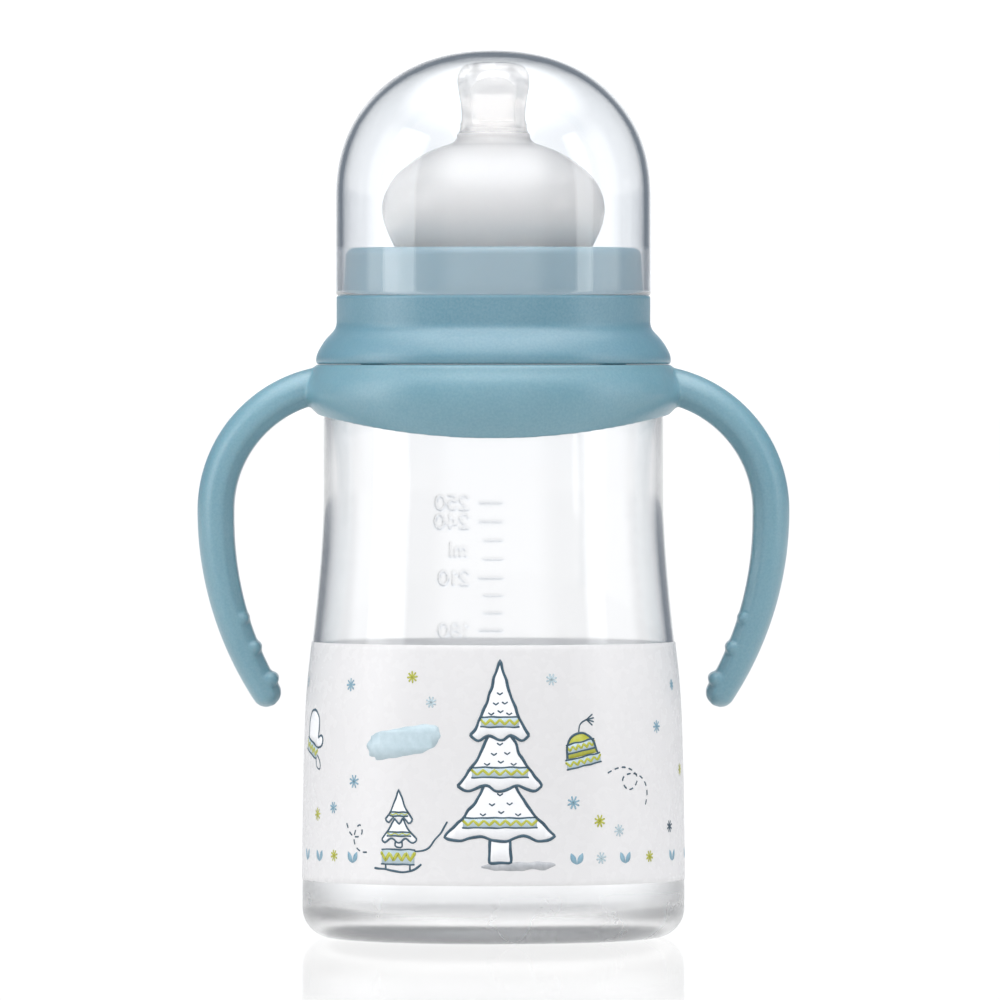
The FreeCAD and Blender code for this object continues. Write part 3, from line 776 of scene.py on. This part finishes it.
def bobble_hat(middle, size, tilt):
    """A knitted hat with two bands, and a tassel on a short cord."""
    turn = np.array(((math.cos(tilt), math.sin(tilt)), (-math.sin(tilt), math.cos(tilt)))) * size
    crown_line = through([(-0.42, -0.06), (-0.36, 0.26), (-0.16, 0.46), (0.10, 0.48), (0.32, 0.28),
                          (0.42, -0.06)], 0.05) @ turn + middle
    INK["mustard"].blob(crown_line, 0)
    INK["navy"].stroke(wobbly(crown_line, amount=0.05), PEN * 0.8, 4)
    for low, reach, layer in ((-0.30, 0.47, 5), (0.06, 0.38, 1)):
        ends = np.array([(-reach, low), (reach, low)]) @ turn + middle
        knitted(ends[0], ends[1], 0.22 * size, 5, layer)
    tip = np.array([(0.0, 0.48)]) @ turn + middle
    cord = through([(0.0, 0.48), (0.10, 0.70), (0.28, 0.76)], 0.05) @ turn + middle
    INK["navy"].stroke(np.vstack([tip, cord[1:]]), PEN * 0.55)
    for spread in (-0.9, -0.45, 0.0, 0.45):
        end = np.array([(0.28 + 0.20 * math.cos(spread), 0.76 + 0.20 * math.sin(spread))]) @ turn + middle
        INK["navy"].stroke(even([cord[-1], end[0]], 0.3), 0.26)


def sledge(left, width):
    """A sledge with a knitted side, seen from the side, and its rope."""
    left = np.array(left)
    knitted(left + (0.1 * width, 0.10 * width), left + (0.86 * width, 0.10 * width), 0.30 * width, 4, 4)
    for x in (0.20, 0.76):
        INK["navy"].stroke(even([left + (x * width, 0.12 * width), left + (x * width, 0)], 0.3), 0.36)
    runner = through([(-0.06, 0.02), (0.30, -0.02), (0.86, 0.0), (1.0, 0.10)], 0.05) * width + left
    INK["navy"].stroke(wobbly(runner, amount=0.04), 0.40)
    rope = through([(0.88, 0.36), (1.12, 0.42), (1.32, 0.62), (1.55, 0.95)], 0.05) * width + left
    INK["navy"].stroke(wobbly(rope, amount=0.05), 0.34)


def dashed(points):
    """A dashed line of snow blown by the wind."""
    line = even(through(points, 0.2), 0.25)
    for start in range(0, len(line) - 4, 7):
        INK["navy"].stroke(line[start:start + 4], 0.30)


def brushed_patch(middle, half_w, half_h, ink, slope=0.0, rows=9):
    """A patch of paint with ragged ends, as one filled shape."""
    ends = []
    for row in range(rows):
        share = row / (rows - 1) * 2 - 1
        reach = half_w * (1 - 0.35 * abs(share) ** 2.5)
        left = -reach + wobble_seed.uniform(-0.09, 0.09) * half_w
        right = reach + wobble_seed.uniform(-0.09, 0.09) * half_w
        ends.append((left, right, share * half_h))
    rim = [(right, v + right * slope) for _, right, v in ends]
    rim += [(left, v + left * slope) for left, _, v in ends[::-1]]
    INK[ink].blob(wobbly(even(rim, 0.5, closed=True), closed=True, amount=0.10) + middle, 0)


def winter_scene(start):
    """One repeat of the printed winter scene, drawn about a place along the film."""

    def at(along, up):
        return np.array((start + along, up))

    brushed_patch(at(4.6, 14.3), 6.6, 0.75, "grey", 0.02, 5)
    fir_tree(at(1.2, 14.9), 36.6, 20.5, 3, 1)
    brushed_patch(at(-17.6, 36.6), 7.6, 2.6, "pale_blue", 0.16)
    fir_tree(at(-17.9, 17.6), 10.4, 7.4, 2)
    sledge(at(-22.4, 13.6), 9.0)
    bobble_hat(at(16.9, 34.6), 7.6, 0.20)
    mitten(at(-43.5, 37.5), 8.6, -0.3)
    dashed([at(22.4, 31.0), at(27.0, 31.8), at(29.6, 29.6), at(27.2, 27.9), at(25.8, 29.6), at(29.4, 30.6),
            at(32.4, 27.6), at(31.4, 24.0)])
    dashed([at(-30.2, 21.6), at(-28.4, 19.4), at(-26.2, 20.0), at(-26.6, 21.4), at(-28.2, 19.2),
            at(-26.2, 16.6), at(-23.6, 16.9)])
    for along, up, size, ink in (
        (-30.1, 46.8, 2.1, "mid_blue"), (-11.7, 43.9, 1.8, "pale_blue"), (-28.4, 29.3, 2.2, "mid_blue"),
        (-34.4, 24.4, 1.9, "mid_blue"), (15.0, 25.7, 2.2, "mid_blue"), (24.8, 20.5, 2.0, "pale_blue"),
        (36.1, 39.1, 2.1, "mid_blue"), (20.7, 15.6, 1.9, "pale_blue"), (40.6, 20.8, 2.0, "navy"),
        (-15.6, 48.4, 1.9, "mustard"), (-40.5, 23.0, 2.1, "mustard"), (-34.0, 15.7, 1.9, "mustard"),
        (20.4, 22.3, 2.1, "mustard"), (33.0, 15.6, 1.9, "mustard"), (47.5, 31.0, 2.0, "mustard"),
        (-50.0, 47.0, 1.9, "pale_blue"), (44.0, 46.5, 1.8, "mid_blue"), (11.0, 48.0, 1.9, "pale_blue"),
    ):
        snowflake(at(along, up), size, ink)
    for along in (-46.0, -39.5, -28.6, 15.6, 26.3, 41.7, 52.5):
        leaf_pair(at(along, 14.5))


def build_art(inks):
    """The winter scene on the front and again on the back, as one thin piece for each ink."""
    for start in (0, math.pi * ART_R):
        winter_scene(start)
    for name, ink in INK.items():
        obj = make_piece("print_" + name, ink.points, ink.faces, inks[name], "bottle")
        skin = obj.modifiers.new("skin", "SOLIDIFY")
        skin.thickness = INK_SKIN * MM
        skin.offset = 1


# ---------------------------------------------------------------- materials


class Nodes:
    """A material's node tree, with short ways to add and join nodes."""

    def __init__(self, name):
        self.material = bpy.data.materials.new(name)
        self.material.use_nodes = True
        self.tree = self.material.node_tree
        self.tree.nodes.clear()
        self.out = self.tree.nodes.new("ShaderNodeOutputMaterial")
        self.place = self.add("ShaderNodeTexCoord").outputs["Object"]

    def add(self, kind, **inputs):
        node = self.tree.nodes.new(kind)
        for name, value in inputs.items():
            self.put(node, name.replace("_", " "), value)
        return node

    def put(self, node, name, value):
        socket = node.inputs[name]
        if isinstance(value, bpy.types.NodeSocket):
            self.tree.links.new(value, socket)
        else:
            socket.default_value = value

    def noise(self, scale, detail=3.0, roughness=0.5):
        node = self.add("ShaderNodeTexNoise", Vector=self.place, Scale=scale, Detail=detail,
                        Roughness=roughness)
        return node.outputs["Fac"]

    def spread(self, value, low, high, from_low=0.3, from_high=0.7):
        node = self.add("ShaderNodeMapRange", Value=value, From_Min=from_low, From_Max=from_high,
                        To_Min=low, To_Max=high)
        return node.outputs["Result"]

    def blend(self, share, one, other):
        node = self.tree.nodes.new("ShaderNodeMix")
        node.data_type = "RGBA"
        self.tree.links.new(share, node.inputs["Factor"])
        for socket, value in ((node.inputs[6], one), (node.inputs[7], other)):
            if isinstance(value, bpy.types.NodeSocket):
                self.tree.links.new(value, socket)
            else:
                socket.default_value = value
        return node.outputs[2]

    def bump(self, height, strength, distance_mm, normal=None):
        node = self.add("ShaderNodeBump", Height=height, Strength=strength, Distance=distance_mm * MM)
        if normal is not None:
            self.put(node, "Normal", normal)
        return node.outputs["Normal"]

    def mix(self, share, one, other):
        """One shader mixed with another, which gets the share."""
        node = self.tree.nodes.new("ShaderNodeMixShader")
        for index, value in enumerate((share, one, other)):
            if isinstance(value, bpy.types.NodeSocket):
                self.tree.links.new(value, node.inputs[index])
            else:
                node.inputs[index].default_value = value
        return node.outputs[0]

    def done(self, shader):
        self.tree.links.new(shader, self.out.inputs["Surface"])
        return self.material


def rgb(red, green, blue):
    """A display colour from 0 to 255 as the linear colour that a shader takes."""
    def linear(c):
        c /= 255
        return c / 12.92 if c <= 0.04045 else ((c + 0.055) / 1.055) ** 2.4
    return (linear(red), linear(green), linear(blue), 1.0)


def lets_light_by(n, shader, tint):
    """The shader as it is seen, but a tinted pane for shadow and diffuse rays, so what is behind is lit."""
    pane = n.add("ShaderNodeBsdfTransparent", Color=tint)
    path = n.add("ShaderNodeLightPath")
    either = n.add("ShaderNodeMath")
    either.operation = "MAXIMUM"
    n.put(either, 0, path.outputs["Is Shadow Ray"])
    n.put(either, 1, path.outputs["Is Diffuse Ray"])
    return n.mix(either.outputs[0], shader, pane.outputs[0])


def clear_plastic(name, tints, smudge, wave, hazy_below=0.001, whiter_below=None):
    """Clear polypropylene: glass-like, with a faint haze, smudges and the soft waves of moulding.

    The first tint is the foot's, below hazy_below; the second is the rest's. Below the last height the plastic
    also gets a small share of white diffuse, which makes that band paler.
    """
    n = Nodes(name)
    smudges = n.spread(n.noise(55, 4), smudge[0], smudge[1])
    up = n.add("ShaderNodeSeparateXYZ", Vector=n.place).outputs["Z"]
    haze = n.spread(up, BASE_HAZE, 0.0, hazy_below * 0.6, hazy_below)
    rough = n.add("ShaderNodeMath")
    n.put(rough, 0, smudges)
    n.put(rough, 1, haze)
    waves = n.bump(n.noise(48, 1), 0.5, wave)
    tint = n.blend(n.spread(up, 0, 1, hazy_below * 0.8, hazy_below), *tints)
    glass = n.add("ShaderNodeBsdfPrincipled", Base_Color=tint, Roughness=rough.outputs[0], IOR=1.45,
                  Transmission_Weight=1.0, Normal=waves).outputs[0]
    if whiter_below:
        # A small share of white diffuse, mixed in below the given height, makes the cap's band over the collar
        # paler.
        veil = n.add("ShaderNodeBsdfDiffuse", Color=rgb(250, 250, 250))
        share = n.spread(up, CAP_BAND_WHITE_SHARE, 0.0, whiter_below - 0.0004, whiter_below + 0.0004)
        glass = n.mix(share, glass, veil.outputs[0])
    return n.done(lets_light_by(n, glass, (0.90, 0.91, 0.92, 1)))


def satin_plastic(name, main, light):
    """Pigmented plastic with a fine spark-eroded grain, and slow variation in tone and gloss."""
    n = Nodes(name)
    tone = n.blend(n.spread(n.noise(38, 3), 0, 1), main, light)
    speck = n.blend(n.spread(n.noise(2400, 2), 0, 0.05), tone, rgb(235, 243, 246))
    rough = n.spread(n.noise(700, 3), 0.33, 0.43)
    grain = n.bump(n.noise(2600, 3), 0.10, 0.015)
    slow = n.bump(n.noise(60, 2), 0.2, 0.10, grain)
    body = n.add("ShaderNodeBsdfPrincipled", Base_Color=speck, Roughness=rough, IOR=1.5, Normal=slow,
                 Subsurface_Weight=0.10, Subsurface_Scale=0.002, Coat_Weight=0.7, Coat_Roughness=0.38)
    return n.done(body.outputs[0])


def silicone():
    """Milky silicone: cloudier in the bulb, clearer towards the nipple's tip."""
    n = Nodes("silicone")
    up = n.add("ShaderNodeSeparateXYZ", Vector=n.place).outputs["Z"]
    clear = n.spread(up, 0.58, 0.86, 0.1440, 0.1485)
    rough = n.spread(up, 0.42, 0.16, 0.1440, 0.1500)
    soft = n.bump(n.noise(120, 2), 0.2, 0.05)
    body = n.add("ShaderNodeBsdfPrincipled", Base_Color=rgb(255, 252, 250), Roughness=rough, IOR=1.41,
                 Transmission_Weight=clear, Normal=soft, Coat_Weight=0.4, Coat_Roughness=0.12,
                 Subsurface_Weight=0.5, Subsurface_Scale=0.012, Subsurface_Radius=(1, 1, 1))
    return n.done(body.outputs[0])


def film_material():
    """The lacquered ground of the print: milky white that lets some light through."""
    n = Nodes("film_ground")
    alpha = n.spread(n.noise(60, 2), 0.83, 0.85)
    rough = n.spread(n.noise(420, 3), 0.24, 0.30)
    body = n.add("ShaderNodeBsdfPrincipled", Base_Color=rgb(250, 247, 246), Roughness=rough, IOR=1.5,
                 Alpha=alpha)
    glow = n.add("ShaderNodeBsdfTranslucent", Color=rgb(252, 250, 249))
    ground = n.mix(FILM_GLOW, body.outputs[0], glow.outputs[0])
    return n.done(lets_light_by(n, ground, (0.84, 0.84, 0.84, 1)))


def ink_material(name, colour, lighter):
    """Screen-printed ink with slightly uneven cover."""
    n = Nodes("ink_" + name)
    cover = n.blend(n.spread(n.noise(700, 4, 0.65), 0, 1, 0.35, 0.75), colour, lighter)
    rough = n.spread(n.noise(900, 2), 0.28, 0.42)
    body = n.add("ShaderNodeBsdfPrincipled", Base_Color=cover, Roughness=rough, IOR=1.5)
    return n.done(body.outputs[0])


# ---------------------------------------------------------------- studio


def build_camera():
    """A long lens in front, nearly level with the shoulder, framed as a product picture."""
    distance, height = 2300.0, 103.9
    seen_width = 183.25
    offset_x, aim_z = 1.2, 80.1
    data = bpy.data.cameras.new("camera")
    data.sensor_width = 36
    data.lens = 36 * distance / seen_width
    data.clip_start, data.clip_end = 0.05, 60
    camera = bpy.data.objects.new("camera", data)
    bpy.context.scene.collection.objects.link(camera)
    camera.location = Vector((offset_x, -distance, height)) * MM
    aim = Vector((offset_x, 0, aim_z)) * MM
    camera.rotation_euler = (aim - camera.location).to_track_quat("-Z", "Y").to_euler()
    bpy.context.scene.camera = camera


def build_world():
    """An even pale studio with greyer gaps between its panels, which draw the edges of clear plastic."""
    world = bpy.data.worlds.new("studio")
    bpy.context.scene.world = world
    world.use_nodes = True
    tree = world.node_tree
    tree.nodes.clear()

    def node(kind, operation=None, *inputs):
        made = tree.nodes.new(kind)
        if operation:
            made.operation = operation
        for socket, value in zip(made.inputs, inputs):
            if isinstance(value, bpy.types.NodeSocket):
                tree.links.new(value, socket)
            else:
                socket.default_value = value
        return made

    def fade(value, full, none):
        made = node("ShaderNodeMapRange", None, value, full, none, 1.0, 0.0)
        made.interpolation_type = "SMOOTHSTEP"
        return made.outputs[0]

    def math_of(operation, *inputs):
        return node("ShaderNodeMath", operation, *inputs).outputs[0]

    way = node("ShaderNodeSeparateXYZ", None, node("ShaderNodeTexCoord").outputs["Generated"]).outputs
    across, off_side, height = (math_of("ABSOLUTE", way[name]) for name in "XYZ")
    behind = math_of("MULTIPLY", fade(across, 0.17, 0.32), fade(way["Y"], 0.1, -0.1))
    behind = math_of("MULTIPLY", behind, fade(height, 0.16, 0.30))
    front = math_of("MULTIPLY", fade(across, 0.45, 0.72), fade(way["Y"], -0.3, 0.0))
    front = math_of("MULTIPLY", front, fade(height, 0.50, 0.80))
    sides = math_of("MULTIPLY", fade(off_side, 0.20, 0.36), fade(height, 0.45, 0.70))
    top = math_of("SUBTRACT", 1.0, fade(way["Z"], 0.62, 0.88))
    level = math_of("MULTIPLY", behind, BACK_PANEL)
    for share, strength in ((front, FRONT_PANEL), (sides, SIDE_PANEL), (top, TOP_PANEL)):
        level = math_of("MULTIPLY_ADD", share, strength, level)
    white = node("ShaderNodeCombineXYZ", None, level, level, level).outputs[0]
    colour = tree.nodes.new("ShaderNodeVectorMath")
    tree.links.new(white, colour.inputs[0])
    colour.inputs[1].default_value = STUDIO_GAP
    studio = node("ShaderNodeBackground")
    tree.links.new(colour.outputs[0], studio.inputs["Color"])
    plain = node("ShaderNodeBackground")
    plain.inputs["Color"].default_value = (1.1, 1.1, 1.1, 1)
    mix = tree.nodes.new("ShaderNodeMixShader")
    tree.links.new(node("ShaderNodeLightPath").outputs["Is Camera Ray"], mix.inputs[0])
    tree.links.new(studio.outputs[0], mix.inputs[1])
    tree.links.new(plain.outputs[0], mix.inputs[2])
    tree.links.new(mix.outputs[0], node("ShaderNodeOutputWorld").inputs["Surface"])


def softbox(name, place, size, watts, aim=(0, 0, 0.09)):
    """A rectangular soft light, aimed at the bottle."""
    data = bpy.data.lights.new(name, "AREA")
    data.shape = "RECTANGLE"
    data.size, data.size_y = size
    data.energy = watts
    lamp = bpy.data.objects.new(name, data)
    bpy.context.scene.collection.objects.link(lamp)
    lamp.location = place
    lamp.rotation_euler = (Vector(aim) - Vector(place)).to_track_quat("-Z", "Y").to_euler()
    lamp.visible_camera = False


def build_floor():
    """A wide pale table with a faint mirror in it."""
    bpy.ops.mesh.primitive_circle_add(vertices=96, radius=25, fill_type="NGON", location=(0, 0, 0))
    floor = bpy.context.active_object
    floor.name = "floor"
    n = Nodes("floor_white")
    matte = n.add("ShaderNodeEmission", Color=(1, 1, 1, 1), Strength=1.03)
    mirror = n.add("ShaderNodeBsdfGlossy", Color=(1, 1, 1, 1), Roughness=0.05)
    floor.data.materials.append(n.done(n.mix(FLOOR_MIRROR, matte.outputs[0], mirror.outputs[0])))


def main():
    blue_handles = satin_plastic("blue_handles", rgb(86, 132, 147), rgb(98, 142, 156))
    blue_collar = satin_plastic("blue_collar", rgb(76, 123, 140), rgb(88, 133, 149))
    foot, wall = (0.998, 0.998, 0.998, 1), (0.976, 0.976, 0.978, 1)
    build_bottle(clear_plastic("clear_bottle", (foot, wall), (0.04, 0.09), 0.05, 0.014))
    cap = (0.985, 0.988, 0.99, 1)
    build_cap(clear_plastic("clear_cap", (cap, cap), (0.01, 0.04), 0.10, whiter_below=SEAT_TOP_Z * MM))
    build_film(film_material())
    build_teat(silicone())
    build_collar(blue_collar)
    build_handles(blue_handles)
    build_art({
        "navy": ink_material("navy", rgb(38, 66, 82), rgb(62, 92, 108)),
        "mustard": ink_material("mustard", rgb(166, 168, 48), rgb(184, 186, 80)),
        "pale_blue": ink_material("pale_blue", rgb(172, 190, 197), rgb(188, 204, 211)),
        "mid_blue": ink_material("mid_blue", rgb(116, 153, 172), rgb(142, 175, 190)),
        "grey": ink_material("grey", rgb(158, 160, 164), rgb(188, 189, 192)),
        "white": ink_material("white", rgb(232, 232, 234), rgb(238, 238, 239)),
    })
    build_camera()
    build_world()
    softbox("left_box", (-0.92, -0.27, 0.30), (0.50, 1.1), 3.6)
    softbox("right_box", (0.95, -0.34, 0.30), (0.25, 1.1), 1.7)
    softbox("top_box", (0, -0.35, 1.5), (1.6, 1.6), 8)
    build_floor()
    bpy.context.scene.view_settings.view_transform = "Standard"
    bpy.context.scene.cycles.use_denoising = True
    bpy.context.scene.cycles.max_bounces = 24
    bpy.context.scene.cycles.transmission_bounces = 24


main()
